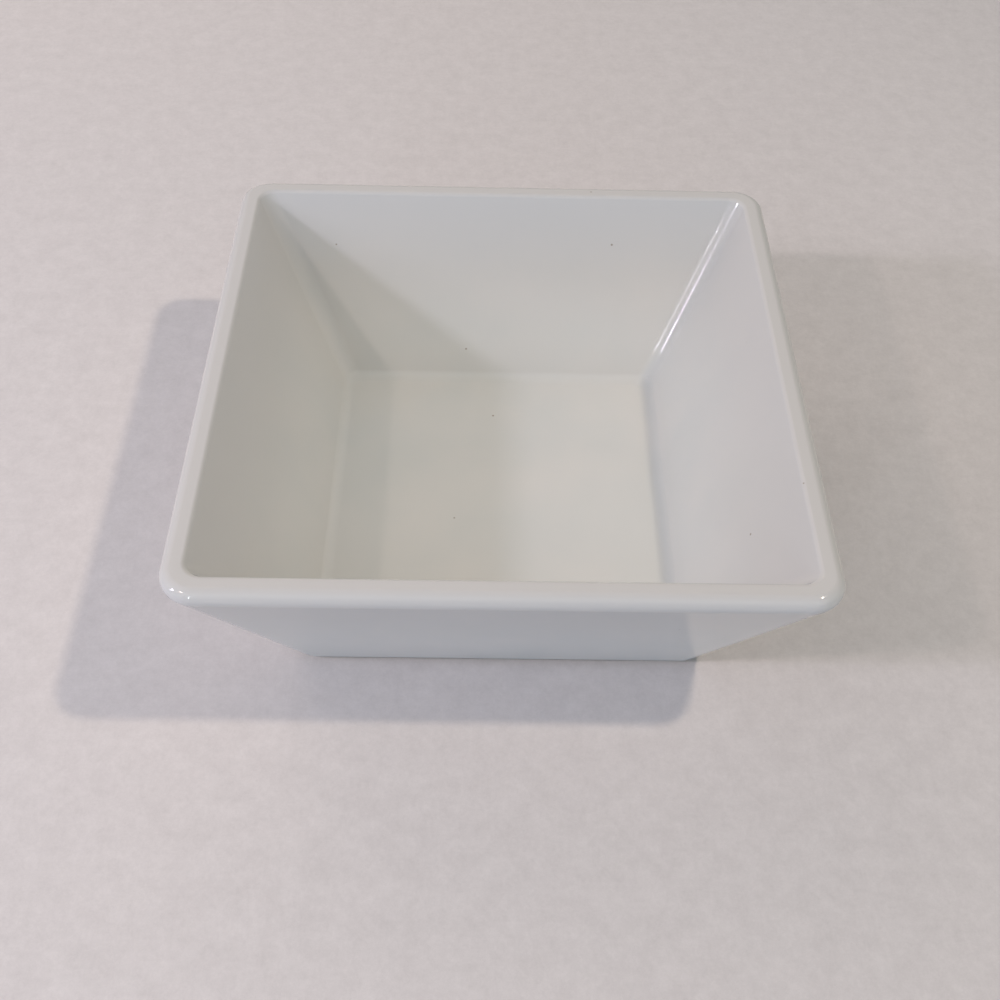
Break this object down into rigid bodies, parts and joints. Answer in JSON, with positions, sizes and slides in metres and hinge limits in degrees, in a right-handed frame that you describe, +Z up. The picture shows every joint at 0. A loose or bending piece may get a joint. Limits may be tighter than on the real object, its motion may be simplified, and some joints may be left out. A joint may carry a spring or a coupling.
{
  "type": "sauce dish",
  "caption": "Small square dish with flat flared walls, a rounded rim and a low bare foot, in white glazed porcelain, for soy sauce and other dips.",
  "frame": {"origin": "middle of the foot, in the plane that the dish stands on", "axes": "+Z up, out of the dish's mouth; +X and +Y along the sides of the square"},
  "size_m": [0.08, 0.08, 0.03],
  "materials": {
    "biscuit_porcelain": "fired clay, bare and matte",
    "white_glaze": "glossy white glaze"
  },
  "bodies": {
    "root": {"porcelain_body": "biscuit_porcelain", "glaze_coat": "white_glaze", "foot_well_glaze": "white_glaze"}
  },
  "joints": []
}
